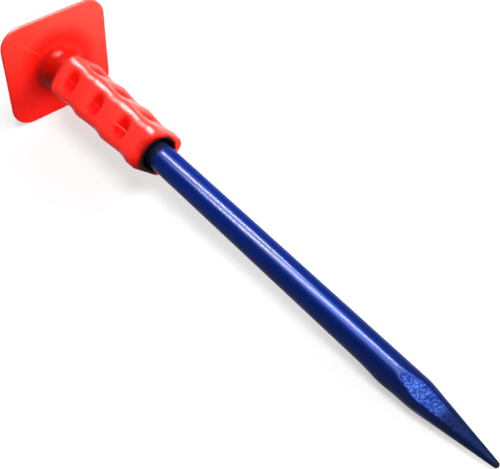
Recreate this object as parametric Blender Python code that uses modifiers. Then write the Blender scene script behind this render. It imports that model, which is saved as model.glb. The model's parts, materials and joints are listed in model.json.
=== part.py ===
"""Pointed chisel with a moulded hand guard, lying on a flat surface.

Two pieces: a round steel bar with a struck head and a forged four-sided point,
and a soft plastic hand guard pushed over it, a square plate with a lobed grip.
Units are metres. Stations are distances along the bar from the struck face.
"""
import bmesh
import bpy
from math import asin, atan2, ceil, cos, hypot, pi, radians, sin, sqrt
from mathutils import Matrix

# Bar, a round steel rod forged to a point
BAR_LENGTH = 0.400
BAR_DIAMETER = 0.018
HEAD_FACE_DIAMETER = 0.0135
HEAD_CHAMFER_LENGTH = 0.0040
BAR_SEGMENTS = 64

# Forged point, two pairs of flats that narrow to a blunt nose
BROAD_FLAT_LENGTH = 0.0655
SIDE_FLAT_LENGTH = 0.0525
NOSE_THICKNESS = 0.0034
NOSE_RADIUS = 0.0019
NOSE_SEGMENTS = 5
ARRIS_TAPER_LENGTH = 0.0500
POINT_ROLL = radians(22)
FLAT_COUNT = 4

# Guard plate, square with round corners
HEAD_PROUD = 0.0120
PLATE_SIDE = 0.079
PLATE_THICKNESS = 0.0030
PLATE_CORNER_RADIUS = 0.0147
PLATE_RIM_ROUND = 0.0012
CORNER_SEGMENTS = 9
RIM_SEGMENTS = 3

# Neck between the plate and the grip
NECK_DIAMETER = 0.0250
NECK_LENGTH = 0.0150
NECK_FILLET = 0.0090

# Grip, a rounded square tube in lobes, its faces turned to the plate's corners
GRIP_LENGTH = 0.1140
GRIP_ROLL = radians(45)
GRIP_DEPTH = 0.0340
GRIP_WIDTH = 0.0309
GRIP_CORNER_RADIUS = 0.0068
GRIP_DRAFT = 0.0003
LOBE_PITCH = 0.0280
LOBE_RISE = 0.0092
RISE_CURVE = 1.5
FIRST_VALLEY = 0.0405
VALLEY_COUNT = 3
VALLEY_DEPTH = 0.0012
HOLLOW_DEPTH = 0.0020
HOLLOW_LENGTH = 0.0220
HOLLOW_LEAD = 0.0035
SHOULDER_LENGTH = 0.0080
LIP_ROUND = 0.0028
GRIP_SEGMENTS = 64
FILLET_RINGS = 6
SHOULDER_RINGS = 6
FALL_RINGS = 7
RISE_RINGS = 4
LIP_RINGS = 4

# Bore of the guard, a sliding fit on the bar with a wider mouth
BORE_CLEARANCE = 0.0003
MOUTH_GAP = 0.0029
MOUTH_DEPTH = 0.0140
MOUTH_CONE = 0.0040
BORE_SEGMENTS = 48

# Finishes: colour, roughness, metallic
BLUE_PAINT = ((0.010, 0.045, 0.290), 0.32, 0.15)
RED_PLASTIC = ((0.780, 0.022, 0.010), 0.30, 0.0)

CUT_MARGIN = 0.002
WELD_DISTANCE = 0.00001
SMOOTH_ANGLE = radians(30)


def clear_scene():
    """Remove whatever the scene holds, so the model starts from nothing."""
    for thing in list(bpy.data.objects):
        bpy.data.objects.remove(thing, do_unlink=True)


def new_collection(name):
    group = bpy.data.collections.new(name)
    bpy.context.scene.collection.children.link(group)
    return group


def new_material(name, colour, roughness, metallic):
    material = bpy.data.materials.new(name)
    material.use_nodes = True
    shader = material.node_tree.nodes["Principled BSDF"]
    shader.inputs["Base Color"].default_value = (*colour, 1.0)
    shader.inputs["Roughness"].default_value = roughness
    shader.inputs["Metallic"].default_value = metallic
    material.diffuse_color = (*colour, 1.0)
    return material


def add_object(name, mesh, group, parent=None):
    thing = bpy.data.objects.new(name, mesh)
    group.objects.link(thing)
    thing.parent = parent
    return thing


def make_cutter(thing):
    thing.hide_render = True
    thing.display_type = "WIRE"


def smooth(mesh):
    mesh.shade_smooth()
    mesh.set_sharp_from_angle(angle=SMOOTH_ANGLE)


def turn(thing, steps):
    """Revolve a profile about its own Z axis."""
    screw = thing.modifiers.new("turned", "SCREW")
    screw.steps = steps
    screw.render_steps = steps
    screw.use_merge_vertices = True
    screw.merge_threshold = WELD_DISTANCE
    screw.use_smooth_shade = True


def combine(thing, tool, operation):
    boolean = thing.modifiers.new(f"{operation.lower()} {tool.name}", "BOOLEAN")
    boolean.operation = operation
    boolean.solver = "EXACT"
    boolean.object = tool


def profile_mesh(name, points):
    """A chain of edges through (radius, station) points, listed from the head down."""
    mesh = bpy.data.meshes.new(name)
    vertices = [(radius, 0.0, -station) for radius, station in points]
    edges = [(index, index + 1) for index in range(len(points) - 1)]
    mesh.from_pydata(vertices, edges, [])
    return mesh


def spread(start, stop, count):
    """Evenly spaced values after the start, up to and with the stop."""
    return [start + (stop - start) * step / count for step in range(1, count + 1)]


def nose_profile():
    """The taper that rounds the arrises off, which runs tangent into the round nose."""
    bar_radius = BAR_DIAMETER / 2
    centre = BAR_LENGTH - NOSE_RADIUS
    run = ARRIS_TAPER_LENGTH - NOSE_RADIUS
    slope = atan2(bar_radius, run) - asin(NOSE_RADIUS / hypot(run, bar_radius))
    points = [(bar_radius, BAR_LENGTH - ARRIS_TAPER_LENGTH)]
    for angle in [slope] + spread(slope, pi / 2, NOSE_SEGMENTS)[:-1]:
        points.append((NOSE_RADIUS * cos(angle), centre + NOSE_RADIUS * sin(angle)))
    points.append((0.0, BAR_LENGTH))
    return points


def flat_cutter(name, length, turn_angle, group, parent):
    """A block whose inner face is one flat of the point."""
    slope = atan2(BAR_DIAMETER / 2 - NOSE_THICKNESS / 2, length)
    block_length = 2 * (length + CUT_MARGIN)
    block_height = BAR_DIAMETER
    block_width = 2 * BAR_DIAMETER
    mesh = bpy.data.meshes.new(name)
    shape = bmesh.new()
    size = Matrix.Diagonal((block_height, block_width, block_length, 1.0))
    bmesh.ops.create_cube(shape, size=1.0, matrix=size)
    face_out = Matrix.Translation((block_height / 2, 0.0, 0.0))
    tilt = Matrix.Rotation(slope, 4, "Y")
    place = Matrix.Translation((NOSE_THICKNESS / 2, 0.0, -BAR_LENGTH))
    around = Matrix.Rotation(-turn_angle, 4, "Z")
    bmesh.ops.transform(shape, matrix=around @ place @ tilt @ face_out, verts=shape.verts)
    shape.to_mesh(mesh)
    shape.free()
    cutter = add_object(name, mesh, group, parent)
    make_cutter(cutter)
    return cutter


def make_bar(parts, cutters, axis):
    """The steel bar: chamfered struck head, round shank and four-sided point."""
    points = [(0.0, 0.0),
              (HEAD_FACE_DIAMETER / 2, 0.0),
              (BAR_DIAMETER / 2, HEAD_CHAMFER_LENGTH)]
    points += nose_profile()
    bar = add_object("chisel_bar", profile_mesh("chisel_bar", points), parts, axis)
    turn(bar, BAR_SEGMENTS)
    for index in range(FLAT_COUNT):
        length = SIDE_FLAT_LENGTH if index % 2 else BROAD_FLAT_LENGTH
        angle = POINT_ROLL + 2 * pi * index / FLAT_COUNT
        cutter = flat_cutter(f"point_flat_{index + 1}", length, angle, cutters, axis)
        combine(bar, cutter, "DIFFERENCE")
    bar.data.materials.append(new_material("blue_paint", *BLUE_PAINT))
    return bar


def lobe_height(distance):
    """Height of the lobes at a distance from the plate: 1 on a crest, 0 in a valley."""
    valley = max(ceil((distance - FIRST_VALLEY) / LOBE_PITCH) - 1, -1)
    along = distance - FIRST_VALLEY - min(valley, VALLEY_COUNT - 1) * LOBE_PITCH
    if along < LOBE_RISE:
        return 1.0 if valley < 0 else (along / LOBE_RISE) ** RISE_CURVE
    return max(1.0 - (along - LOBE_RISE) / (LOBE_PITCH - LOBE_RISE), 0.0)


def hollow_depth(distance):
    """Depth of the finger hollow in the middle of a face at a distance from the plate."""
    depth = 0.0
    for index in range(VALLEY_COUNT):
        centre = FIRST_VALLEY + index * LOBE_PITCH - HOLLOW_LEAD
        offset = abs(distance - centre) / (HOLLOW_LENGTH / 2)
        if offset < 1.0:
            depth += HOLLOW_DEPTH * cos(offset * pi / 2) ** 2
    return depth


def section_radius(angle, half_depth, half_width, corner):
    """Distance from the axis to a rounded rectangle, in the direction of an angle."""
    across = abs(cos(angle))
    along = abs(sin(angle))
    inner_depth = half_depth - corner
    inner_width = half_width - corner
    if half_depth * along <= inner_width * across:
        return half_depth / across
    if half_width * across <= inner_depth * along:
        return half_width / along
    middle = inner_depth * across + inner_width * along
    rest = inner_depth ** 2 + inner_width ** 2 - corner ** 2
    return middle + sqrt(max(middle ** 2 - rest, 0.0))


def grip_radius(distance, angle):
    """Radius of the grip's outer surface, before its two ends are rounded.

    The faces close in by the draft towards the mouth, and by the valley's depth between lobes.
    """
    drop = GRIP_DRAFT * distance / GRIP_LENGTH + VALLEY_DEPTH * (1.0 - lobe_height(distance))
    half_depth = GRIP_DEPTH / 2 - drop
    half_width = GRIP_WIDTH / 2 - drop
    face_angle = angle - GRIP_ROLL
    radius = section_radius(face_angle, half_depth, half_width, GRIP_CORNER_RADIUS)
    return radius - hollow_depth(distance) * cos(2 * face_angle) ** 2


def grip_stations():
    """Rings of the loft: distance from the plate's front, radius of the neck, share of the grip."""
    neck_radius = NECK_DIAMETER / 2
    rings = [(-PLATE_THICKNESS / 2, neck_radius + NECK_FILLET, 0.0)]
    for angle in spread(0.0, pi / 2, FILLET_RINGS):
        distance = NECK_FILLET * (1.0 - cos(angle))
        rings.append((distance, neck_radius + NECK_FILLET * (1.0 - sin(angle)), 0.0))
    for share in [0.0] + spread(0.0, 1.0, SHOULDER_RINGS):
        rings.append((NECK_LENGTH + SHOULDER_LENGTH * share, neck_radius, sin(share * pi / 2)))
    last = NECK_LENGTH + SHOULDER_LENGTH
    for index in range(VALLEY_COUNT):
        valley = FIRST_VALLEY + index * LOBE_PITCH
        stations = spread(last, valley, FALL_RINGS)
        stations += spread(valley, valley + LOBE_RISE, RISE_RINGS)
        rings += [(distance, neck_radius, 1.0) for distance in stations]
        last = stations[-1]
    stations = spread(last, GRIP_LENGTH - LIP_ROUND, RISE_RINGS)
    rings += [(distance, neck_radius, 1.0) for distance in stations]
    return rings


def make_grip(cutters, parent):
    """The grip as a loft from the round neck through its lobes to the mouth."""
    shape = bmesh.new()
    loops = []
    turns = [2 * pi * index / GRIP_SEGMENTS for index in range(GRIP_SEGMENTS)]

    def add_ring(distance, radii):
        ring = []
        for angle, radius in zip(turns, radii):
            ring.append(shape.verts.new((radius * cos(angle), -radius * sin(angle), -distance)))
        loops.append(ring)

    for distance, round_radius, blend in grip_stations():
        full = [grip_radius(distance, angle) for angle in turns]
        add_ring(distance, [round_radius + (radius - round_radius) * blend for radius in full])
    end_radii = [grip_radius(GRIP_LENGTH - LIP_ROUND, angle) for angle in turns]
    for angle in spread(0.0, pi / 2, LIP_RINGS):
        inset = LIP_ROUND * (1.0 - cos(angle))
        add_ring(GRIP_LENGTH - LIP_ROUND * (1.0 - sin(angle)), [radius - inset for radius in end_radii])
    for upper, lower in zip(loops, loops[1:]):
        for index in range(GRIP_SEGMENTS):
            following = (index + 1) % GRIP_SEGMENTS
            shape.faces.new((upper[index], upper[following], lower[following], lower[index]))
    shape.faces.new(loops[0])
    shape.faces.new(list(reversed(loops[-1])))
    bmesh.ops.recalc_face_normals(shape, faces=shape.faces)
    mesh = bpy.data.meshes.new("grip_loft")
    shape.to_mesh(mesh)
    shape.free()
    smooth(mesh)
    grip = add_object("grip_loft", mesh, cutters, parent)
    grip.location.z = -PLATE_THICKNESS
    make_cutter(grip)
    return grip


def make_bore(cutters, parent):
    """The hole through the guard: a sliding fit on the bar, opened out at the mouth."""
    bore_radius = BAR_DIAMETER / 2 + BORE_CLEARANCE
    mouth_radius = BAR_DIAMETER / 2 + MOUTH_GAP
    end = PLATE_THICKNESS + GRIP_LENGTH
    points = [(0.0, -CUT_MARGIN),
              (bore_radius, -CUT_MARGIN),
              (bore_radius, end - MOUTH_DEPTH - MOUTH_CONE),
              (mouth_radius, end - MOUTH_DEPTH),
              (mouth_radius, end + CUT_MARGIN),
              (0.0, end + CUT_MARGIN)]
    bore = add_object("guard_bore", profile_mesh("guard_bore", points), cutters, parent)
    turn(bore, BORE_SEGMENTS)
    make_cutter(bore)
    return bore


def plate_mesh():
    """A square plate with its rear face at zero, round corners and a round rim."""
    shape = bmesh.new()
    size = Matrix.Diagonal((PLATE_SIDE, PLATE_SIDE, PLATE_THICKNESS, 1.0))
    place = Matrix.Translation((0.0, 0.0, -PLATE_THICKNESS / 2))
    bmesh.ops.create_cube(shape, size=1.0, matrix=place @ size)
    uprights = [edge for edge in shape.edges
                if abs(edge.verts[0].co.z - edge.verts[1].co.z) > PLATE_THICKNESS / 2]
    bmesh.ops.bevel(shape, geom=uprights, offset=PLATE_CORNER_RADIUS, offset_type="OFFSET",
                    segments=CORNER_SEGMENTS, profile=0.5, affect="EDGES")
    rims = [edge for edge in shape.edges
            if abs(edge.verts[0].co.z - edge.verts[1].co.z) < PLATE_THICKNESS / 2]
    bmesh.ops.bevel(shape, geom=rims, offset=PLATE_RIM_ROUND, offset_type="OFFSET",
                    segments=RIM_SEGMENTS, profile=0.5, affect="EDGES")
    mesh = bpy.data.meshes.new("hand_guard")
    shape.to_mesh(mesh)
    shape.free()
    smooth(mesh)
    return mesh


def make_guard(parts, cutters, axis):
    """The hand guard: plate, neck and lobed grip in one moulding with a bore."""
    guard = add_object("hand_guard", plate_mesh(), parts, axis)
    guard.location.z = -HEAD_PROUD
    combine(guard, make_grip(cutters, guard), "UNION")
    combine(guard, make_bore(cutters, guard), "DIFFERENCE")
    guard.data.materials.append(new_material("red_plastic", *RED_PLASTIC))


def resting_frame(bar):
    """Tilt and place of the bar's axis when the plate's edge and the bar's underside lie on the floor.

    The bar touches where its underside reaches the floor at the least tilt: at the heel of the point.
    """
    rim_drop = PLATE_SIDE / 2 - PLATE_RIM_ROUND
    rim_station = HEAD_PROUD + PLATE_THICKNESS - PLATE_RIM_ROUND
    bpy.context.view_layer.update()
    shape = bar.evaluated_get(bpy.context.evaluated_depsgraph_get()).data
    tilts = []
    for vertex in shape.vertices:
        run = -vertex.co.z - rim_station
        drop = rim_drop + vertex.co.x
        if run > 0:
            tilts.append(atan2(drop, run) + asin(PLATE_RIM_ROUND / hypot(drop, run)))
    tilt = min(tilts)
    height = rim_station * sin(tilt) + rim_drop * cos(tilt) + PLATE_RIM_ROUND
    head_reach = HEAD_FACE_DIAMETER / 2 * sin(tilt)
    nose_reach = (BAR_LENGTH - NOSE_RADIUS) * cos(tilt) + NOSE_RADIUS
    return tilt, (head_reach - nose_reach) / 2, height


def build():
    clear_scene()
    parts = new_collection("pointed_chisel")
    cutters = new_collection("cutters")
    axis = add_object("bar_axis", None, parts)
    bar = make_bar(parts, cutters, axis)
    make_guard(parts, cutters, axis)
    tilt, head_x, head_z = resting_frame(bar)
    axis.location = (head_x, 0.0, head_z)
    axis.rotation_euler = (0.0, tilt - pi / 2, 0.0)


build()
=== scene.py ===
"""Looks of the pointed chisel: the painted bar, the moulded hand guard, the light and the camera.

Stations are distances along the bar from its struck face, in metres. The bar's own frame has
its origin at the middle of that face, +Z out through it, and +X up from the bar as it lies.
"""
import json
from math import asin, atan2, ceil, cos, exp, hypot, pi, radians, sin, sqrt

import bpy
from mathutils import Matrix, Vector, noise


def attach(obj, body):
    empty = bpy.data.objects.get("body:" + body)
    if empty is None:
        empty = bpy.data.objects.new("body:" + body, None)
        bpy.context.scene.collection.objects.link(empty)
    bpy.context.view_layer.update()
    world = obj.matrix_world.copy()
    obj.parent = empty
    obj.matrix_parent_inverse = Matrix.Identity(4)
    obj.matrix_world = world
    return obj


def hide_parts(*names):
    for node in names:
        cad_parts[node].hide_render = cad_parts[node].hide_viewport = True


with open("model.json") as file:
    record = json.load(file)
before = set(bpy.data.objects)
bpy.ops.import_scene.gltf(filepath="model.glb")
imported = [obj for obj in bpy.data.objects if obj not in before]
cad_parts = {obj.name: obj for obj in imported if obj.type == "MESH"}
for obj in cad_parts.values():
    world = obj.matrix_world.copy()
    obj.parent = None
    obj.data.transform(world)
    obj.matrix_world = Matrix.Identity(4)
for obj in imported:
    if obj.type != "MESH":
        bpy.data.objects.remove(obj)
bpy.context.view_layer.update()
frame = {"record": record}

# Bar, the same sizes as the solid
BAR_LENGTH = 0.400
BAR_RADIUS = 0.009
HEAD_FACE_RADIUS = 0.00675
HEAD_CHAMFER_LENGTH = 0.0040
BROAD_FLAT_LENGTH = 0.0655
SIDE_FLAT_LENGTH = 0.0525
NOSE_HALF = 0.0017
NOSE_RADIUS = 0.0019
ARRIS_TAPER_LENGTH = 0.0500
POINT_ROLL = radians(22)
FLAT_COUNT = 4

# How soft the bar's edges are under the paint, as the width over which two surfaces blend
HEAD_EDGE_SOFT = 0.0007
SHOULDER_SOFT = 0.0004
ARRIS_SOFT = 0.0009

# Forging marks: how far they stand, how long they are, and where they begin
FORGED_START = 0.228
FORGED_FULL = 0.290
SHANK_WAVE = 0.000005
FORGED_WAVE = 0.00006
WAVE_LENGTH = 0.011
DENT_SIZE = 0.0038
DENT_DEPTH = 0.00010
PIT_SIZE = 0.0016
PIT_DEPTH = 0.000022
SWELL_STATION = 0.329
SWELL_LENGTH = 0.0085
SWELL_TURN = radians(114)
SWELL_SPREAD = radians(34)
SWELL_HEIGHT = 0.00075
WAVE_STRETCH = 0.45

# How much of the forging shows off the flats, and how near to a flat's edge it is in full
FORGED_ON_SHANK = 0.45
FORGED_ON_HEAD = 0.25
FLAT_EDGE_BELOW = -0.0002
FLAT_EDGE_ABOVE = 0.0006

# The cosine below which a flat faces away, and the distance that stands for such a flat
FACING_LEAST = 0.05
OUT_OF_REACH = 1.0

# Stations between which the paint turns darker toward the point, turns darker still on the point, and
# wears off the nose
DARKENING_START = 0.130
DARKENING_FULL = 0.370
POINT_DARK_START = 0.350
POINT_DARK_FULL = 0.384
POINT_DARK_SHARE = 0.9
NOSE_WORN_START = 0.394
NOSE_WORN_FULL = 0.3985

# Guard plate and neck
HEAD_PROUD = 0.0120
PLATE_SIDE = 0.079
PLATE_THICKNESS = 0.0030
PLATE_FRONT = HEAD_PROUD + PLATE_THICKNESS
PLATE_CORNER_RADIUS = 0.0147
PLATE_RIM_ROUND = 0.0012
NECK_RADIUS = 0.0125
NECK_LENGTH = 0.0150
NECK_FILLET = 0.0090

# Grip
GRIP_LENGTH = 0.1140
GRIP_ROLL = radians(45)
GRIP_DEPTH = 0.0334
GRIP_WIDTH = 0.0303
GRIP_CORNER_RADIUS = 0.0060
GRIP_DRAFT = 0.0003
LOBE_PITCH = 0.0280
LOBE_RISE = 0.0092
RISE_CURVE = 1.5
FIRST_VALLEY = 0.0405
VALLEY_COUNT = 3
VALLEY_DEPTH = 0.0012
HOLLOW_DEPTH = 0.0021
HOLLOW_LENGTH = 0.0172
HOLLOW_SPREAD = 1.4
HOLLOW_LEAD = 0.0068
SHOULDER_LENGTH = 0.0080
LIP_ROUND = 0.0028
CREST_SOFT = 0.0012
CREST_SHIFTS = (-1.0, -0.5, 0.0, 0.5, 1.0)

# Bore of the guard
BORE_RADIUS = 0.0093
MOUTH_RADIUS = 0.0119
MOUTH_DEPTH = 0.0140
MOUTH_CONE = 0.0040
MOUTH_EDGE_ROUND = 0.0006
MOUTH_STATION = PLATE_FRONT + GRIP_LENGTH
BORE_MARGIN = 0.0002
REAR_MARGIN = 0.001

# Painted shade in and round the guard's mouth: black on the bar inside the mouth and a little way
# past it, and black on the plastic of the bore and round the mouth's edge. Painted shade also in the
# corner between the plate and the neck
BAR_SHADE_MOST = 0.94
BAR_SHADE_START = 0.106
BAR_SHADE_FULL = 0.122
BAR_SHADE_REACH = 0.0064
BAR_SHADE_FADE = 0.0042
BAR_SHADE_RAGGED = 0.0030
BAR_SHADE_PATCH = 0.0040
MOUTH_SHADE_REACH = 0.0068
MOUTH_SHADE_LEAST = 0.0015
MOUTH_SHADE_PATCH = 0.0050
MOUTH_SHADE_RAGGED = 0.35
MOUTH_SHADE_LEAN = 0.45
NECK_SHADE_INNER = NECK_RADIUS + NECK_FILLET / 3

# Painted shade, a deeper red, in the finger hollows and on the plate round the neck at depths from
# the mouth back
HOLLOW_RED_START = 0.12
HOLLOW_RED_FULL = 0.65
PLATE_RED_SHARE = 0.8
PLATE_RED_OUTER = 0.033
PLATE_RED_INNER = 0.020
PLATE_RED_NEAR = 0.090
PLATE_RED_FAR = 0.110

# Unevenness of the soft moulding, and the seam that the mould's halves leave
SAG_LENGTH = 0.014
SAG_HEIGHT = 0.00006
SEAM_WIDTH = 0.00070
SEAM_HEIGHT = 0.00022
SEAM_WORN = 0.15
SEAM_KEPT_FROM = 0.078
SEAM_SUNK = 0.00010
SEAM_FADE = 0.02
SEAM_WANDER = 0.00008
WANDER_PER_METRE = 90.0
SEAM_EVEN = 0.75
SEAM_UNEVEN = 0.5
UNEVEN_PER_METRE = 260.0
SEAM_UNDERSIDE = -0.3
SEAM_TURNS = {"mould_seam_near": GRIP_ROLL, "mould_seam_far": GRIP_ROLL + pi}

# Fineness of the meshes. The shank is coarser where the guard covers it.
BAR_SEGMENTS = 192
GUARD_SEGMENTS = 256
SEAM_SEGMENTS = 10
HEAD_RINGS = 9
HEAD_REACH = 1.5 * HEAD_CHAMFER_LENGTH
HEAD_STEP = 0.0004
COVERED_STEP = 0.0020
OPEN_STEP = 0.0008
POINT_REACH = 1.25 * BROAD_FLAT_LENGTH
POINT_STEP = 0.00045
NOSE_RINGS = 9
NOSE_TURN = 0.48 * pi
GRIP_STEP = 0.0006
MOUTH_STEP = 0.0014
FACE_RINGS = 16
ROUND_RINGS = 6
FILLET_RINGS = 16
LIP_RINGS = 8
LIP_FACE_RINGS = 4
REAR_EDGE_RINGS = 3
MOUTH_EDGE_RINGS = 4
CONE_RINGS = 5
BORE_RINGS = 12
SEAM_FACE_POINTS = 24

# Size of the features in the paint and in the plastic's skin, and how far they stand
PEEL_SIZE = 0.0030
PITTING_SIZE = 0.0011
RIPPLE_SIZE = 0.0016
DRIFT_SIZE = 0.045
PATCH_SIZE = 0.0090
SPECK_SIZE = 0.0007
PAINT_RELIEF = 0.00010
FLOW_SIZE = 0.022
GRAIN_SIZE = 0.0013
SKIN_SIZE = 0.0050
PLASTIC_RELIEF = 0.00004
RIPPLE_STRETCH = (1.3, 0.8, 1.0)
DRIFT_STRETCH = (0.35, 1.0, 1.0)
FLOW_STRETCH = (0.55, 1.0, 1.0)

# Values between which each change in the paint comes in
PAINT_THIN = (0.62, 0.82)
THIN_ON_FORGED = (0.50, 0.90)
SPECK_SHOWS = (0.72, 0.80)
POINT_DARK_SHOWS = (0.25, 0.70)
DRIFT_SHOWS = (0.35, 0.70)
PIT_SHOWS = (0.52, 0.30)
NOSE_BARE = (0.92, 1.0)
COAT_SHOWS = (0.62, 0.46)

# How much each thing counts in the paint's colour
PATCH_IN_THIN = 0.35
PIT_IN_POINT_DARK = 0.25
DRIFT_DEEPENS = 0.15
DARKENING_DEEPENS = 0.75
PIT_DEEPENS = 0.20
THIN_PALES = 0.20
SPECK_PALES = 0.03

# How much each thing counts in the paint's metal, roughness and relief
PAINT_METAL = 0.03
FORGED_METAL = 0.25
POINT_DARK_DULLS = 0.7
PAINT_ROUGHNESS = 0.27
PEEL_ROUGHENS = 0.04
PIT_ROUGHENS = 0.10
BAR_SHADE_ROUGHENS = 0.40
PEEL_STANDS = 0.05
RIPPLE_STANDS = 1.4
PIT_STANDS = 0.02
FORGED_PIT_STANDS = 0.26

# Values between which each change in the plastic comes in
FLOW_SHOWS = (0.45, 0.75)
# Painted shade in the mouth and bore: first a deeper red, then black
MOUTH_SHADE_DEEPENS = (0.0, 0.45)
MOUTH_SHADE_BLACKENS = (0.25, 0.95)

# How much each thing counts in the plastic's colour, roughness and relief
FLOW_DEEPENS = 0.25
NECK_EVEN = 0.65
NECK_GRAINY = 0.35
PLASTIC_ROUGHNESS = 0.22
SKIN_ROUGHENS = 0.08
MOUTH_SHADE_ROUGHENS = 0.30
SKIN_STANDS = 0.70
GRAIN_STANDS = 0.30

# Heights between which the red turns paler: a painted reflection, paler higher up and toward the +Y
# side
PAINTED_PALE_LOW = 0.005
PAINTED_PALE_HIGH = 0.115
PAINTED_PALE_LEAN = 0.5
PAINTED_PALE_DRIFT = 0.02

# Strength and roughness of the gloss on the paint and on the plastic
PAINT_COAT = 0.13
PAINT_COAT_ROUGHNESS = 0.18
PLASTIC_COAT = 0.60
PLASTIC_COAT_LOST = 0.56
PLASTIC_COAT_ROUGHNESS = 0.41

# Colours are linear
BLUE = (0.0014, 0.0145, 0.160)
BLUE_DEEP = (0.0014, 0.0080, 0.056)
BLUE_FLECK = (0.110, 0.190, 0.520)
BLUE_DARKENED = (0.0012, 0.0066, 0.040)
NOSE_GREY = (0.008, 0.009, 0.020)
RED = (0.950, 0.006, 0.002)
# RED_DEEP is the moulding's own deeper tone in its flow marks, and painted shade in the finger
# hollows, round the neck and in the mouth
RED_DEEP = (0.800, 0.003, 0.001)
# Painted reflection that makes the red paler higher up
RED_PAINTED_PALE = (0.960, 0.062, 0.042)
# Painted shade at the neck
RED_NECK_SHADE = (0.360, 0.003, 0.001)
# Painted shade in the bore and round the mouth
MOUTH_SHADE_COLOUR = (0.012, 0.003, 0.003)
# Painted shade on the bar inside the guard's mouth
BAR_SHADE_COLOUR = (0.006, 0.006, 0.008)

# Camera, placed in the bar's own frame; its lens and the width of its frame are in millimetres
CAMERA_PLACE = Vector((0.38162, -0.22791, -0.45215))
CAMERA_AIM = Vector((0.0, 0.00211, -0.21427))
CAMERA_ROLL = radians(4.437)
CAMERA_LENS = 62.575
CAMERA_FRAME = 36.0
CAMERA_NEAR = 0.01

# Lamps in rows overhead that only gloss shows: place across, width, start, end and radiance
STRIP_HEIGHT = 1.0
STRIP_TURN = radians(51.7)
STRIPS = {"strip_back": (-0.520, 0.060, -0.46, 0.14, 520.0),
          "strip_middle": (-0.205, 0.050, -0.60, 0.20, 500.0),
          "strip_corner": (-1.320, 0.52, -1.30, -0.60, 60.0),
          "strip_band_far": (-0.150, 0.15, -0.80, -0.42, 44.0),
          "strip_band": (0.030, 0.34, -0.42, 0.14, 20.0),
          "strip_flat": (0.285, 0.17, -0.22, 0.12, 40.0)}

# Soft lamps that gloss doesn't show: the way to each, its distance, its side and its light
SOFT_LAMPS = {"key_behind": ((0.30, 0.88, 0.36), 1.8, 1.1, 1.40),
              "key_front": ((0.95, 0.22, 0.20), 1.8, 1.4, 1.02),
              "top": ((0.25, -0.08, 0.96), 1.8, 0.9, 1.32),
              "head_end": ((-0.95, 0.14, 0.28), 1.8, 1.2, 0.60)}

# World and floor
SEEN_RAYS = ("Camera", "Glossy", "Transmission")
HORIZON = 0.90
ZENITH = 0.06
AMBIENT = 0.06
HORIZON_TOP = sin(radians(2))
ZENITH_START = sin(radians(16))
FLOOR_SIZE = 60.0
FLOOR_DROP = 0.0002
FLOOR_WHITE = 0.94
FLOOR_GLOW = 0.55
FLOOR_MATT = 0.70
FLOOR_BOUNCE = 0.20
FLOOR_NEAR = 0.5
FLOOR_FAR = 1.4

# The bar's own frame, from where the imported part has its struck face
mount = frame["record"]["mounts"][0]
head_centre = Vector(mount["pos_m"])
head_out = Vector(mount["axis"]).normalized()
bar_side = Vector((0.0, 1.0, 0.0))
bar_up = bar_side.cross(head_out)
bar_frame = Matrix((bar_up, bar_side, head_out)).transposed().to_4x4()
bar_frame.translation = head_centre


class Signal:
    """One output of a shader node, which Python's arithmetic turns into Math nodes."""

    def __init__(self, finish, socket):
        self.finish = finish
        self.socket = socket

    def __add__(self, other):
        return self.finish.maths("ADD", self, other)

    def __sub__(self, other):
        return self.finish.maths("SUBTRACT", self, other)

    def __rsub__(self, other):
        return self.finish.maths("SUBTRACT", other, self)

    def __mul__(self, other):
        return self.finish.maths("MULTIPLY", self, other)

    __radd__ = __add__
    __rmul__ = __mul__


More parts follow.
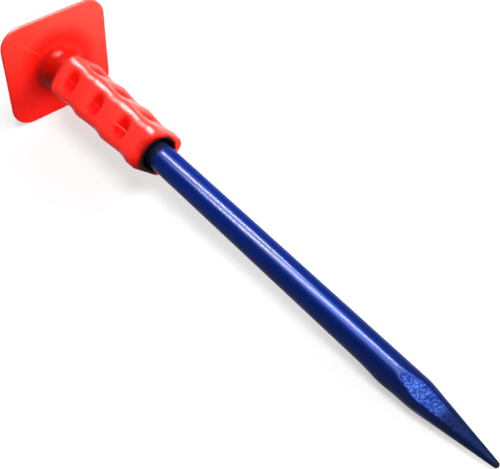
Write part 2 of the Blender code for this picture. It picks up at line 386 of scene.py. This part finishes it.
class Finish:
    """The node tree of a material or of the world."""

    def __init__(self, owner):
        owner.use_nodes = True
        self.tree = owner.node_tree

    def fill(self, node, inputs):
        """Gives each named input of a node its value or its signal."""
        for key, value in inputs.items():
            socket = node.inputs[key]
            if isinstance(value, Signal):
                self.tree.links.new(value.socket, socket)
            elif isinstance(value, tuple) and len(value) == 3 and socket.type == "RGBA":
                socket.default_value = (*value, 1.0)
            else:
                socket.default_value = value

    def node(self, kind, inputs, output=0, **settings):
        """A new node with its inputs and settings, as the signal of one of its outputs."""
        node = self.tree.nodes.new(kind)
        for name, value in settings.items():
            setattr(node, name, value)
        self.fill(node, inputs)
        return Signal(self, node.outputs[output])

    def maths(self, operation, first, second):
        """A Math node on two signals or values."""
        return self.node("ShaderNodeMath", {0: first, 1: second}, operation=operation)

    def larger(self, first, second):
        """The larger of two signals or values."""
        return self.maths("MAXIMUM", first, second)

    def place(self):
        """Where a point is in the piece's own frame."""
        return self.node("ShaderNodeTexCoord", {}, "Object")

    def axis(self, vector, name):
        """One of a vector's three parts."""
        return self.node("ShaderNodeSeparateXYZ", {0: vector}, name)

    def marked(self, name):
        """A value that the mesh carries at each point."""
        return self.node("ShaderNodeAttribute", {}, "Fac", attribute_name=name)

    def cloud(self, size, detail=2.0, roughness=0.5, stretch=(1.0, 1.0, 1.0)):
        """Smooth noise from 0 to 1 with features of a size in metres."""
        place = self.node("ShaderNodeVectorMath", {0: self.place(), 1: stretch},
                          operation="MULTIPLY")
        return self.node("ShaderNodeTexNoise", {"Vector": place, "Scale": 1.0 / size,
                                                "Detail": detail, "Roughness": roughness})

    def step(self, value, low, high):
        """A smooth step from 0 to 1 as a value goes from low to high."""
        return self.node("ShaderNodeMapRange", {"Value": value, "From Min": low, "From Max": high},
                         interpolation_type="SMOOTHSTEP")

    def mix(self, share, first, second):
        """A colour that goes from the first to the second as the share goes from 0 to 1."""
        return self.node("ShaderNodeMix", {0: share, 6: first, 7: second}, 2, data_type="RGBA")

    def seen(self):
        """1 for what is seen straight or in a reflection, and 0 for light on its way to a surface."""
        camera, glossy, through = (self.node("ShaderNodeLightPath", {}, f"Is {kind} Ray")
                                   for kind in SEEN_RAYS)
        return self.larger(self.larger(camera, glossy), through)

    def relief(self, height, depth):
        """A normal for a surface whose height goes from 0 to 1 over a depth in metres."""
        return self.node("ShaderNodeBump", {"Height": height, "Distance": depth})


def new_material(name):
    """A material, its node tree and its shader."""
    material = bpy.data.materials.new(name)
    finish = Finish(material)
    return material, finish, finish.tree.nodes["Principled BSDF"]


def blue_paint():
    """Glossy enamel over a forged bar: smooth on the shank, pitted and without gloss on the flats."""
    material, finish, shader = new_material("blue_paint")
    forged = finish.marked("forged")
    peel = finish.cloud(PEEL_SIZE)
    pits = finish.cloud(PITTING_SIZE, detail=4.0, roughness=0.62)
    ripples = finish.cloud(RIPPLE_SIZE, roughness=0.60, stretch=RIPPLE_STRETCH)
    patches = finish.cloud(PATCH_SIZE, detail=3.0)
    drift = finish.cloud(DRIFT_SIZE, stretch=DRIFT_STRETCH)
    specks = finish.cloud(SPECK_SIZE, detail=1.0)
    # Painted shade: black, matt and without gloss on the bar where the guard's mouth covers it
    bar_shade = finish.marked("bar_shade")
    nose = finish.marked("nose")
    # The paint turns darker toward the point
    darkening = finish.marked("darkening")
    thin = finish.step(pits + patches * PATCH_IN_THIN, *PAINT_THIN)
    thin = thin * finish.step(forged, *THIN_ON_FORGED)
    darkened = finish.step(nose + pits * PIT_IN_POINT_DARK, *POINT_DARK_SHOWS)
    deep = finish.step(drift, *DRIFT_SHOWS) * DRIFT_DEEPENS + darkening * DARKENING_DEEPENS
    pale = thin * THIN_PALES + finish.step(specks, *SPECK_SHOWS) * SPECK_PALES
    colour = finish.mix(deep, BLUE, BLUE_DEEP)
    colour = finish.mix(finish.step(pits, *PIT_SHOWS) * forged * PIT_DEEPENS, colour, BLUE_DEEP)
    colour = finish.mix(pale, colour, BLUE_FLECK)
    colour = finish.mix(darkened, colour, BLUE_DARKENED)
    colour = finish.mix(finish.step(nose, *NOSE_BARE), colour, NOSE_GREY)
    # Painted shade: black on the bar where the guard's mouth covers it
    colour = finish.mix(bar_shade, colour, BAR_SHADE_COLOUR)
    metallic = (PAINT_METAL + FORGED_METAL * forged) * (1.0 - bar_shade) * (1.0 - POINT_DARK_DULLS * darkened)
    roughness = PAINT_ROUGHNESS + PEEL_ROUGHENS * peel + PIT_ROUGHENS * forged * pits
    roughness = roughness + BAR_SHADE_ROUGHENS * bar_shade
    coat = finish.step(forged, *COAT_SHOWS) * (1.0 - bar_shade) * PAINT_COAT
    height = peel * PEEL_STANDS + ripples * forged * RIPPLE_STANDS
    height = height + pits * (PIT_STANDS + FORGED_PIT_STANDS * forged)
    finish.fill(shader, {"Base Color": colour,
                         "Metallic": metallic,
                         "Roughness": roughness,
                         "Specular IOR Level": 0.012,
                         "Coat Weight": coat,
                         "Coat Roughness": PAINT_COAT_ROUGHNESS,
                         "Coat IOR": 1.40,
                         "Normal": finish.relief(height, PAINT_RELIEF)})
    return material


def red_plastic():
    """Soft plastic with faint flow marks, a painted reflection that makes it paler higher up, and
    painted shade in the mouth, at the neck, in the finger hollows and on the plate round the neck.
    """
    material, finish, shader = new_material("red_plastic")
    inside = finish.marked("inside")
    hollow = finish.marked("hollow")
    neck = finish.marked("neck")
    flow = finish.cloud(FLOW_SIZE, detail=3.0, roughness=0.55, stretch=FLOW_STRETCH)
    grain = finish.cloud(GRAIN_SIZE, detail=3.0)
    skin = finish.cloud(SKIN_SIZE)
    place = finish.place()
    # Painted reflection: the red turns paler higher up and toward the +Y side
    height = finish.axis(place, "Z") + finish.axis(place, "Y") * PAINTED_PALE_LEAN + flow * PAINTED_PALE_DRIFT
    upper = finish.step(height, PAINTED_PALE_LOW, PAINTED_PALE_HIGH)
    colour = finish.mix(upper, RED, RED_PAINTED_PALE)
    colour = finish.mix(finish.step(flow, *FLOW_SHOWS) * FLOW_DEEPENS, colour, RED_DEEP)
    # Painted shade: a deeper red in the finger hollows and on the plate round the neck
    colour = finish.mix(hollow, colour, RED_DEEP)
    # Painted shade at the neck, a little grainy
    colour = finish.mix(neck * (NECK_EVEN + NECK_GRAINY * grain), colour, RED_NECK_SHADE)
    # Painted shade in the mouth and bore: a deeper red, then black
    colour = finish.mix(finish.step(inside, *MOUTH_SHADE_DEEPENS), colour, RED_DEEP)
    colour = finish.mix(finish.step(inside, *MOUTH_SHADE_BLACKENS), colour, MOUTH_SHADE_COLOUR)
    roughness = PLASTIC_ROUGHNESS + SKIN_ROUGHENS * skin + MOUTH_SHADE_ROUGHENS * inside
    coat = (1.0 - inside) * (PLASTIC_COAT - PLASTIC_COAT_LOST * finish.larger(hollow, neck))
    texture = skin * SKIN_STANDS + grain * GRAIN_STANDS
    finish.fill(shader, {"Base Color": colour,
                         "Roughness": roughness,
                         "IOR": 1.5,
                         "Specular IOR Level": 0.05,
                         "Coat Weight": coat,
                         "Coat Roughness": PLASTIC_COAT_ROUGHNESS,
                         "Coat IOR": 1.24,
                         "Sheen Weight": 0.35,
                         "Sheen Roughness": 0.18,
                         "Normal": finish.relief(texture, PLASTIC_RELIEF)})
    return material


def soft_min(first, second, width):
    """The smaller of two sizes, with the edge between them rounded off over a width."""
    overlap = max(width - abs(first - second), 0.0)
    return min(first, second) - overlap * overlap / (4.0 * width)


def smooth_step(value, low, high):
    """0 at the low end, 1 at the high end, and a smooth rise between them."""
    share = min(max((value - low) / (high - low), 0.0), 1.0)
    return share * share * (3.0 - 2.0 * share)


def spread(start, stop, count):
    """Evenly spaced values after the start, up to and with the stop."""
    return [start + (stop - start) * step / count for step in range(1, count + 1)]


def steps(start, stop, length):
    """Evenly spaced values after the start, about a length apart."""
    return spread(start, stop, max(int(ceil((stop - start) / length)), 1))


def turns(count):
    """Angles evenly round a full turn."""
    return [2.0 * pi * index / count for index in range(count)]


def bar_point(station, angle, radius):
    """A point in the bar's own frame."""
    return Vector((radius * cos(angle), -radius * sin(angle), -station))


def loft(name, rings, material, marks, end_mark=0.0, closed=False):
    """A smooth skin through rings of points; open ends close in a fan, and closed ones meet."""
    count = len(rings[0])
    points = [point for ring in rings for point in ring]
    faces = []
    last = len(rings) if closed else len(rings) - 1
    for row in range(last):
        upper = row * count
        lower = (row + 1) % len(rings) * count
        for index in range(count):
            following = (index + 1) % count
            faces.append((upper + index, upper + following, lower + following, lower + index))
    if not closed:
        for row, ends in ((0, (1, 0)), (len(rings) - 1, (0, 1))):
            centre = sum(rings[row], Vector()) / count
            points.append(centre)
            for index in range(count):
                pair = (row * count + index, row * count + (index + 1) % count)
                faces.append((pair[ends[0]], pair[ends[1]], len(points) - 1))
    mesh = bpy.data.meshes.new(name)
    mesh.from_pydata([bar_frame @ point for point in points], [], faces)
    for mark, values in marks.items():
        values = values + [end_mark] * (len(points) - len(values))
        mesh.attributes.new(mark, "FLOAT", "POINT").data.foreach_set("value", values)
    mesh.shade_smooth()
    mesh.materials.append(material)
    mesh.validate()
    piece = bpy.data.objects.new(name, mesh)
    bpy.context.scene.collection.objects.link(piece)
    return piece


def nose_slope():
    """Slope of the taper that rounds the arrises off, which runs tangent into the nose."""
    run = ARRIS_TAPER_LENGTH - NOSE_RADIUS
    return atan2(BAR_RADIUS, run) - asin(NOSE_RADIUS / hypot(run, BAR_RADIUS))


def round_radius(station):
    """Radius of the bar as a turned shape: chamfered head, shank, taper and round nose."""
    chamfer = (BAR_RADIUS - HEAD_FACE_RADIUS) * station / HEAD_CHAMFER_LENGTH
    radius = soft_min(BAR_RADIUS, HEAD_FACE_RADIUS + chamfer, HEAD_EDGE_SOFT)
    slope = nose_slope()
    centre = BAR_LENGTH - NOSE_RADIUS
    tangent = centre + NOSE_RADIUS * sin(slope)
    if station > tangent:
        return sqrt(max(NOSE_RADIUS ** 2 - (station - centre) ** 2, 0.0))
    run = (station - tangent) / (BAR_LENGTH - ARRIS_TAPER_LENGTH - tangent)
    taper = BAR_RADIUS * run + NOSE_RADIUS * cos(slope) * (1.0 - run)
    return soft_min(radius, taper, SHOULDER_SOFT)


def flat_reach(station, angle, index):
    """Distance from the axis to one flat of the point, in the direction of an angle."""
    length = SIDE_FLAT_LENGTH if index % 2 else BROAD_FLAT_LENGTH
    half = NOSE_HALF + (BAR_RADIUS - NOSE_HALF) * (BAR_LENGTH - station) / length
    facing = cos(angle - POINT_ROLL - 2.0 * pi * index / FLAT_COUNT)
    return half / facing if facing > FACING_LEAST else OUT_OF_REACH


def bar_surface(station, angle):
    """Radius of the painted bar, and how much of the forging shows there."""
    round_reach = round_radius(station)
    flats = [flat_reach(station, angle, index) for index in range(FLAT_COUNT)]
    flat = soft_min(*sorted(flats)[:2], ARRIS_SOFT)
    radius = soft_min(round_reach, flat, SHOULDER_SOFT)
    on_flat = smooth_step(round_reach - flat, FLAT_EDGE_BELOW, FLAT_EDGE_ABOVE)
    near_point = smooth_step(station, FORGED_START, FORGED_FULL)
    forged = max(FORGED_ON_SHANK * near_point, on_flat)
    place = bar_point(station, angle, radius)
    along = Vector((place.x, place.y, place.z * WAVE_STRETCH))
    wave = SHANK_WAVE + (FORGED_WAVE - SHANK_WAVE) * near_point
    radius += wave * noise.noise(along / WAVE_LENGTH)
    radius += on_flat * DENT_DEPTH * noise.noise(place / DENT_SIZE)
    radius += on_flat * PIT_DEPTH * noise.noise(place / PIT_SIZE)
    turn = atan2(sin(angle - SWELL_TURN), cos(angle - SWELL_TURN)) / SWELL_SPREAD
    run = (station - SWELL_STATION) / SWELL_LENGTH
    radius += SWELL_HEIGHT * exp(-run * run - turn * turn)
    return max(radius, 0.0), forged


def nose_share(station):
    """How much darker the paint is, from the middle of the flats to the nose, where it wears off."""
    point_dark = smooth_step(station, POINT_DARK_START, POINT_DARK_FULL) * POINT_DARK_SHARE
    return point_dark + smooth_step(station, NOSE_WORN_START, NOSE_WORN_FULL) * (1.0 - POINT_DARK_SHARE)


def bar_shade_share(station, angle):
    """Painted shade: how black the bar is in the guard's mouth and a little way past it."""
    edge = MOUTH_STATION + BAR_SHADE_REACH
    edge += BAR_SHADE_RAGGED * noise.noise(bar_point(station, angle, BAR_RADIUS) / BAR_SHADE_PATCH)
    ring = smooth_step(station, edge, edge - BAR_SHADE_FADE) * smooth_step(station, BAR_SHADE_START, BAR_SHADE_FULL)
    return BAR_SHADE_MOST * ring


def bar_stations():
    """Where the bar's rings lie, closer together at the head and on the point."""
    stations = [0.0] + steps(0.0, HEAD_REACH, HEAD_STEP)
    stations += steps(stations[-1], MOUTH_STATION - MOUTH_DEPTH, COVERED_STEP)
    stations += steps(stations[-1], BAR_LENGTH - POINT_REACH, OPEN_STEP)
    nose_start = BAR_LENGTH - NOSE_RADIUS
    stations += steps(stations[-1], nose_start, POINT_STEP)
    stations += [nose_start + NOSE_RADIUS * sin(turn) for turn in spread(0.0, NOSE_TURN, NOSE_RINGS)]
    return stations


def make_bar(material):
    """The bar from the middle of its struck face to its nose."""
    angles = turns(BAR_SEGMENTS)
    rings = []
    marks = {"forged": [], "bar_shade": [], "nose": [], "darkening": []}
    for share in spread(0.0, 1.0, HEAD_RINGS)[:-1]:
        rings.append([bar_point(0.0, angle, share * HEAD_FACE_RADIUS) for angle in angles])
        for mark, values in marks.items():
            values += [FORGED_ON_HEAD if mark == "forged" else 0.0] * BAR_SEGMENTS
    for station in bar_stations():
        surface = [bar_surface(station, angle) for angle in angles]
        rings.append([bar_point(station, angle, radius)
                      for angle, (radius, forged) in zip(angles, surface)])
        marks["forged"] += [forged for radius, forged in surface]
        # Painted shade on the bar where the guard's mouth covers it
        marks["bar_shade"] += [bar_shade_share(station, angle) for angle in angles]
        marks["nose"] += [nose_share(station)] * BAR_SEGMENTS
        marks["darkening"] += [smooth_step(station, DARKENING_START, DARKENING_FULL)] * BAR_SEGMENTS
    return loft("painted_bar", rings, material, marks, marks["nose"][-1])


def section_radius(angle, half_depth, half_width, corner):
    """Distance from the axis to a rounded rectangle, in the direction of an angle."""
    across = abs(cos(angle))
    along = abs(sin(angle))
    inner_depth = half_depth - corner
    inner_width = half_width - corner
    if half_depth * along <= inner_width * across:
        return half_depth / across
    if half_width * across <= inner_depth * along:
        return half_width / along
    middle = inner_depth * across + inner_width * along
    rest = inner_depth ** 2 + inner_width ** 2 - corner ** 2
    return middle + sqrt(max(middle ** 2 - rest, 0.0))


def plate_outline(angle, inset):
    """Distance from the axis to the plate's edge, drawn in by an inset."""
    half = PLATE_SIDE / 2 - inset
    return section_radius(angle, half, half, PLATE_CORNER_RADIUS - inset)


def sharp_lobe(distance):
    """Height of the lobes at a distance from the plate: 1 on a crest, 0 in a valley."""
    valley = max(ceil((distance - FIRST_VALLEY) / LOBE_PITCH) - 1, -1)
    along = distance - FIRST_VALLEY - min(valley, VALLEY_COUNT - 1) * LOBE_PITCH
    if along < LOBE_RISE:
        return 1.0 if valley < 0 else (along / LOBE_RISE) ** RISE_CURVE
    return max(1.0 - (along - LOBE_RISE) / (LOBE_PITCH - LOBE_RISE), 0.0)


def lobe_height(distance):
    """The lobes with their crests and valleys rounded."""
    heights = [sharp_lobe(distance + shift * CREST_SOFT) for shift in CREST_SHIFTS]
    return sum(heights) / len(heights)


def hollow_share(distance):
    """How deep the finger hollows are at a distance from the plate, from 0 to 1."""
    share = 0.0
    for index in range(VALLEY_COUNT):
        offset = abs(distance - FIRST_VALLEY - index * LOBE_PITCH + HOLLOW_LEAD) / (HOLLOW_LENGTH / 2)
        if offset < 1.0:
            share += cos(offset * pi / 2) ** 2
    return share


def across_face(angle):
    """How near an angle is to the middle of a face of the grip: 1 there, 0 at a corner."""
    return abs(cos(2.0 * (angle - GRIP_ROLL))) ** HOLLOW_SPREAD


def grip_radius(distance, angle):
    """Outer radius of the grip: a rounded section with its draft, lobes and finger hollows."""
    drop = GRIP_DRAFT * distance / GRIP_LENGTH + VALLEY_DEPTH * (1.0 - lobe_height(distance))
    radius = section_radius(angle - GRIP_ROLL, GRIP_DEPTH / 2 - drop, GRIP_WIDTH / 2 - drop,
                            GRIP_CORNER_RADIUS)
    return radius - HOLLOW_DEPTH * hollow_share(distance) * across_face(angle)


def body_radius(distance, angle):
    """Outer radius of the guard in front of its plate: fillet, neck, shoulder and grip."""
    if distance < NECK_FILLET:
        return NECK_RADIUS + NECK_FILLET - sqrt(NECK_FILLET ** 2 - (NECK_FILLET - distance) ** 2)
    blend = min(max((distance - NECK_LENGTH) / SHOULDER_LENGTH, 0.0), 1.0)
    return NECK_RADIUS + (grip_radius(distance, angle) - NECK_RADIUS) * sin(blend * pi / 2)


def sag(place):
    """How far the soft plastic stands off its true form."""
    return SAG_HEIGHT * noise.noise(place / SAG_LENGTH)


def constant(radius):
    """The rule of a round ring."""
    return lambda angle: radius


def inset_plate(inset):
    """The rule of a ring on the rounding of the plate's rim."""
    return lambda angle: plate_outline(angle, inset)


def plate_face(inner, share):
    """The rule of a ring on the plate's flat, a share of the way from an inner radius to the rim."""
    return lambda angle: inner + (plate_outline(angle, PLATE_RIM_ROUND) - inner) * share


def on_body(distance):
    """The rule of a ring on the neck or the grip."""
    return lambda angle: body_radius(distance, angle)


def lip(inset):
    """The rule of a ring on the rounding of the grip's lip."""
    return lambda angle: grip_radius(GRIP_LENGTH - LIP_ROUND, angle) - inset


def lip_face(share):
    """The rule of a ring on the flat end between the lip and the mouth."""
    inner = MOUTH_RADIUS + MOUTH_EDGE_ROUND
    return lambda angle: inner + (lip(LIP_ROUND)(angle) - inner) * share


def outer_rings():
    """Rings from the plate's rear face over the rim, the neck and the grip to the lip."""
    rim = PLATE_RIM_ROUND
    rings = []
    for share in spread(0.0, 1.0, FACE_RINGS):
        rings.append((HEAD_PROUD, plate_face(BORE_RADIUS + MOUTH_EDGE_ROUND, share)))
    for turn in spread(0.0, pi / 2, ROUND_RINGS):
        rings.append((HEAD_PROUD + rim * (1.0 - cos(turn)), inset_plate(rim * (1.0 - sin(turn)))))
    for turn in [0.0] + spread(0.0, pi / 2, ROUND_RINGS):
        rings.append((PLATE_FRONT - rim * (1.0 - sin(turn)), inset_plate(rim * (1.0 - cos(turn)))))
    for share in spread(1.0, 0.0, FACE_RINGS):
        rings.append((PLATE_FRONT, plate_face(NECK_RADIUS + NECK_FILLET, share)))
    for turn in spread(0.0, pi / 2, FILLET_RINGS):
        rings.append((PLATE_FRONT + NECK_FILLET * (1.0 - cos(turn)),
                      constant(NECK_RADIUS + NECK_FILLET * (1.0 - sin(turn)))))
    for distance in steps(NECK_FILLET, GRIP_LENGTH - LIP_ROUND, GRIP_STEP):
        rings.append((PLATE_FRONT + distance, on_body(distance)))
    for turn in spread(0.0, pi / 2, LIP_RINGS):
        rings.append((MOUTH_STATION - LIP_ROUND * (1.0 - sin(turn)),
                      lip(LIP_ROUND * (1.0 - cos(turn)))))
    for share in spread(1.0, 0.0, LIP_FACE_RINGS):
        rings.append((MOUTH_STATION, lip_face(share)))
    return rings


def inner_rings():
    """Rings from the mouth's edge through its cone and along the bore to the rear edge."""
    edge = MOUTH_EDGE_ROUND
    rings = []
    for turn in spread(0.0, pi / 2, MOUTH_EDGE_RINGS):
        rings.append((MOUTH_STATION - edge * (1.0 - cos(turn)),
                      constant(MOUTH_RADIUS + edge * (1.0 - sin(turn)))))
    for depth in steps(edge, MOUTH_DEPTH, MOUTH_STEP):
        rings.append((MOUTH_STATION - depth, constant(MOUTH_RADIUS)))
    for share in spread(0.0, 1.0, CONE_RINGS):
        rings.append((MOUTH_STATION - MOUTH_DEPTH - MOUTH_CONE * share,
                      constant(MOUTH_RADIUS + (BORE_RADIUS - MOUTH_RADIUS) * share)))
    bore = MOUTH_STATION - MOUTH_DEPTH - MOUTH_CONE
    for station in spread(bore, HEAD_PROUD + edge, BORE_RINGS):
        rings.append((station, constant(BORE_RADIUS)))
    return rings


def guard_rings():
    """All rings of the guard, each a station and a rule for its radius, in order round the wall."""
    edge = MOUTH_EDGE_ROUND
    rings = []
    for turn in spread(0.0, pi / 2, REAR_EDGE_RINGS):
        rings.append((HEAD_PROUD + edge * (1.0 - sin(turn)),
                      constant(BORE_RADIUS + edge * (1.0 - cos(turn)))))
    return rings + outer_rings() + inner_rings()


def mouth_shade_share(place, radius, depth, within):
    """Painted shade: how black the plastic is, all of the bore and a ragged ring round the mouth's
    edge.
    """
    if within:
        return 1.0
    reach = MOUTH_SHADE_REACH * (1.0 + MOUTH_SHADE_RAGGED * noise.noise(place / MOUTH_SHADE_PATCH))
    reach *= 1.0 - MOUTH_SHADE_LEAN * place.y / MOUTH_RADIUS
    return smooth_step(hypot(radius - MOUTH_RADIUS, depth), max(reach, MOUTH_SHADE_LEAST), 0.0)


def neck_shade_share(radius, depth):
    """Painted shade: how dark the red is in the corner between the plate and the neck."""
    if depth > GRIP_LENGTH + PLATE_THICKNESS / 2:
        return 0.0
    neck_end = GRIP_LENGTH - NECK_LENGTH
    near = smooth_step(radius, NECK_RADIUS + NECK_FILLET, NECK_SHADE_INNER)
    return near * smooth_step(depth, neck_end - SHOULDER_LENGTH, neck_end)


def deep_red_shade_share(station, angle, radius, depth):
    """Painted shade: how much deeper the red is in the finger hollows and on the plate round the
    neck.
    """
    on_grip = PLATE_FRONT + NECK_LENGTH < station < MOUTH_STATION - LIP_ROUND
    if on_grip and radius > NECK_RADIUS:
        hollow = hollow_share(station - PLATE_FRONT) * across_face(angle)
        return smooth_step(hollow, HOLLOW_RED_START, HOLLOW_RED_FULL)
    near = smooth_step(radius, PLATE_RED_OUTER, PLATE_RED_INNER)
    return PLATE_RED_SHARE * near * smooth_step(depth, PLATE_RED_NEAR, PLATE_RED_FAR)


def make_guard(material):
    """The guard as one moulding: plate, neck, lobed grip, mouth and bore."""
    rings = []
    marks = {"inside": [], "hollow": [], "neck": []}
    for station, rule in guard_rings():
        depth = MOUTH_STATION - station
        ring = []
        for angle in turns(GUARD_SEGMENTS):
            radius = rule(angle)
            place = bar_point(station, angle, radius)
            bored = radius < MOUTH_RADIUS + BORE_MARGIN
            within = bored and station > HEAD_PROUD + REAR_MARGIN
            if not bored:
                place = bar_point(station, angle, radius + sag(place))
            ring.append(place)
            # Painted shade: black in the bore and round the mouth's edge
            marks["inside"].append(mouth_shade_share(place, radius, depth, within))
            # Painted shade: a deeper red in the finger hollows and on the plate round the neck
            marks["hollow"].append(deep_red_shade_share(station, angle, radius, depth))
            # Painted shade in the corner between the plate and the neck
            marks["neck"].append(neck_shade_share(radius, depth))
        rings.append(ring)
    return loft("moulded_guard", rings, material, marks, closed=True)


def seam_line(angle):
    """Stations and radii of the mould's seam, from the plate's rim to the lip."""
    outer = plate_outline(angle, PLATE_RIM_ROUND)
    inner = NECK_RADIUS + NECK_FILLET
    line = [(PLATE_FRONT, radius) for radius in [outer] + spread(outer, inner, SEAM_FACE_POINTS)]
    line += [(PLATE_FRONT + NECK_FILLET * (1.0 - cos(turn)), inner - NECK_FILLET * sin(turn))
             for turn in spread(0.0, pi / 2, FILLET_RINGS)]
    line += [(PLATE_FRONT + distance, body_radius(distance, angle))
             for distance in steps(NECK_FILLET, GRIP_LENGTH - LIP_ROUND, GRIP_STEP)]
    return line


def seam_height(station, angle, share):
    """How far the seam stands out: it fades at its ends and is worn down where the hand is."""
    distance = station - PLATE_FRONT
    kept = 1.0 if distance == 0.0 else SEAM_WORN
    if distance > SEAM_KEPT_FROM:
        kept += (1.0 - SEAM_WORN) * hollow_share(distance)
    fade = min(1.0, share / SEAM_FADE, (1.0 - share) / SEAM_FADE)
    uneven = noise.noise(Vector((station * UNEVEN_PER_METRE, angle, 1.0)))
    return SEAM_HEIGHT * fade * kept * (SEAM_EVEN + SEAM_UNEVEN * uneven)


def make_seam(name, angle, material):
    """A fine raised line where the halves of the mould met."""
    line = seam_line(angle)
    side = Vector((-sin(angle), -cos(angle), 0.0))
    rings = []
    neck = []
    for index, (station, radius) in enumerate(line):
        before = line[max(index - 1, 0)]
        after = line[min(index + 1, len(line) - 1)]
        rise = Vector((after[0] - before[0], after[1] - before[1])).normalized()
        out = bar_point(-rise.y, angle, rise.x)
        place = bar_point(station, angle, radius)
        place += out * sag(place)
        height = seam_height(station, angle, index / (len(line) - 1)) + SEAM_SUNK
        wander = SEAM_WANDER * noise.noise(Vector((station * WANDER_PER_METRE, angle, 0.0)))
        ring = []
        for turn in turns(SEAM_SEGMENTS):
            across = side * (SEAM_WIDTH / 2 * cos(turn) + wander)
            lift = height * max(sin(turn), SEAM_UNDERSIDE) - SEAM_SUNK
            ring.append(place + across + out * lift)
        rings.append(ring)
        # Painted shade at the neck, as on the guard
        neck += [neck_shade_share(radius, MOUTH_STATION - station)] * len(ring)
    return loft(name, rings, material, {"neck": neck})


def make_floor():
    """A pale floor that keeps the shadow near the tool and runs out into an even glow."""
    half = FLOOR_SIZE / 2
    mesh = bpy.data.meshes.new("floor")
    corners = [(-half, -half, 0.0), (half, -half, 0.0), (half, half, 0.0), (-half, half, 0.0)]
    mesh.from_pydata(corners, [], [(0, 1, 2, 3)])
    floor = bpy.data.objects.new("floor", mesh)
    floor.location.z = -FLOOR_DROP
    bpy.context.scene.collection.objects.link(floor)
    material, finish, shader = new_material("floor")
    finish.tree.nodes.remove(shader)
    seen = finish.seen()
    reach = finish.node("ShaderNodeVectorMath", {0: finish.place()}, "Value", operation="LENGTH")
    glow = finish.larger(finish.step(reach, FLOOR_NEAR, FLOOR_FAR), FLOOR_GLOW) * seen
    shade = FLOOR_BOUNCE + (FLOOR_MATT - FLOOR_BOUNCE) * seen
    grey = finish.node("ShaderNodeCombineXYZ", {0: shade, 1: shade, 2: shade})
    matt = finish.node("ShaderNodeBsdfDiffuse", {"Color": grey})
    even = finish.node("ShaderNodeEmission", {"Color": (FLOOR_WHITE,) * 3, "Strength": 1.0})
    surface = finish.node("ShaderNodeMixShader", {0: glow, 1: matt, 2: even})
    finish.fill(finish.tree.nodes["Material Output"], {"Surface": surface})
    mesh.materials.append(material)


def make_world():
    """A pale horizon all round under a dim ceiling."""
    world = bpy.data.worlds.new("studio")
    bpy.context.scene.world = world
    finish = Finish(world)
    way = finish.node("ShaderNodeTexCoord", {}, "Generated")
    rise = finish.axis(way, "Z")
    sky = HORIZON - (HORIZON - ZENITH) * finish.step(rise, HORIZON_TOP, ZENITH_START)
    strength = AMBIENT + (sky - AMBIENT) * finish.seen()
    finish.fill(finish.tree.nodes["Background"], {"Color": (1.0, 1.0, 1.0), "Strength": strength})


def add_lamp(name, width, length, radiance, matrix):
    """A flat lamp whose power gives it the asked radiance."""
    lamp = bpy.data.lights.new(name, "AREA")
    lamp.shape = "RECTANGLE"
    lamp.size = length
    lamp.size_y = width
    lamp.energy = radiance * pi * width * length
    thing = bpy.data.objects.new(name, lamp)
    thing.matrix_world = matrix
    bpy.context.scene.collection.objects.link(thing)
    return thing


def make_lights():
    """Lamps that gloss shows, and soft ones whose light of 1 shows a white surface as white."""
    across = Vector((sin(STRIP_TURN), -cos(STRIP_TURN), 0.0))
    along = Vector((cos(STRIP_TURN), sin(STRIP_TURN), 0.0))
    for name, (offset, width, start, end, radiance) in STRIPS.items():
        place = across * offset + along * (start + end) / 2 + Vector((0.0, 0.0, STRIP_HEIGHT))
        matrix = Matrix.Translation(place) @ Matrix.Rotation(STRIP_TURN, 4, "Z")
        strip = add_lamp(name, width, end - start, radiance, matrix)
        strip.visible_diffuse = False
    for name, (way, distance, size, level) in SOFT_LAMPS.items():
        way = Vector(way).normalized()
        matrix = Matrix.Translation(way * distance) @ way.to_track_quat("Z", "Y").to_matrix().to_4x4()
        lamp = add_lamp(name, size, size, level * pi * distance ** 2 / size ** 2, matrix)
        lamp.visible_glossy = False


def make_camera():
    """The camera at the photograph's place, which looks at the bar and is rolled to its tilt."""
    camera = bpy.data.cameras.new("camera")
    camera.lens = CAMERA_LENS
    camera.sensor_width = CAMERA_FRAME
    camera.clip_start = CAMERA_NEAR
    forward = (CAMERA_AIM - CAMERA_PLACE).normalized()
    right = forward.cross(Vector((1.0, 0.0, 0.0))).normalized()
    look = Matrix((right, right.cross(forward), -forward)).transposed().to_4x4()
    thing = bpy.data.objects.new("camera", camera)
    bpy.context.scene.collection.objects.link(thing)
    thing.matrix_world = (bar_frame @ Matrix.Translation(CAMERA_PLACE) @ look
                          @ Matrix.Rotation(CAMERA_ROLL, 4, "Z"))
    bpy.context.scene.camera = thing


def build():
    """The scene, with each piece on the body that it moves with."""
    make_camera()
    make_world()
    make_lights()
    make_floor()
    paint = blue_paint()
    plastic = red_plastic()
    bar = make_bar(paint)
    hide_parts("chisel_bar")
    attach(bar, "bar")
    guard = make_guard(plastic)
    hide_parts("hand_guard")
    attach(guard, "guard")
    for name, angle in SEAM_TURNS.items():
        seam = make_seam(name, angle, plastic)
        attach(seam, "guard")


build()
bpy.context.scene.view_settings.view_transform = "Standard"
bpy.context.view_layer.update()
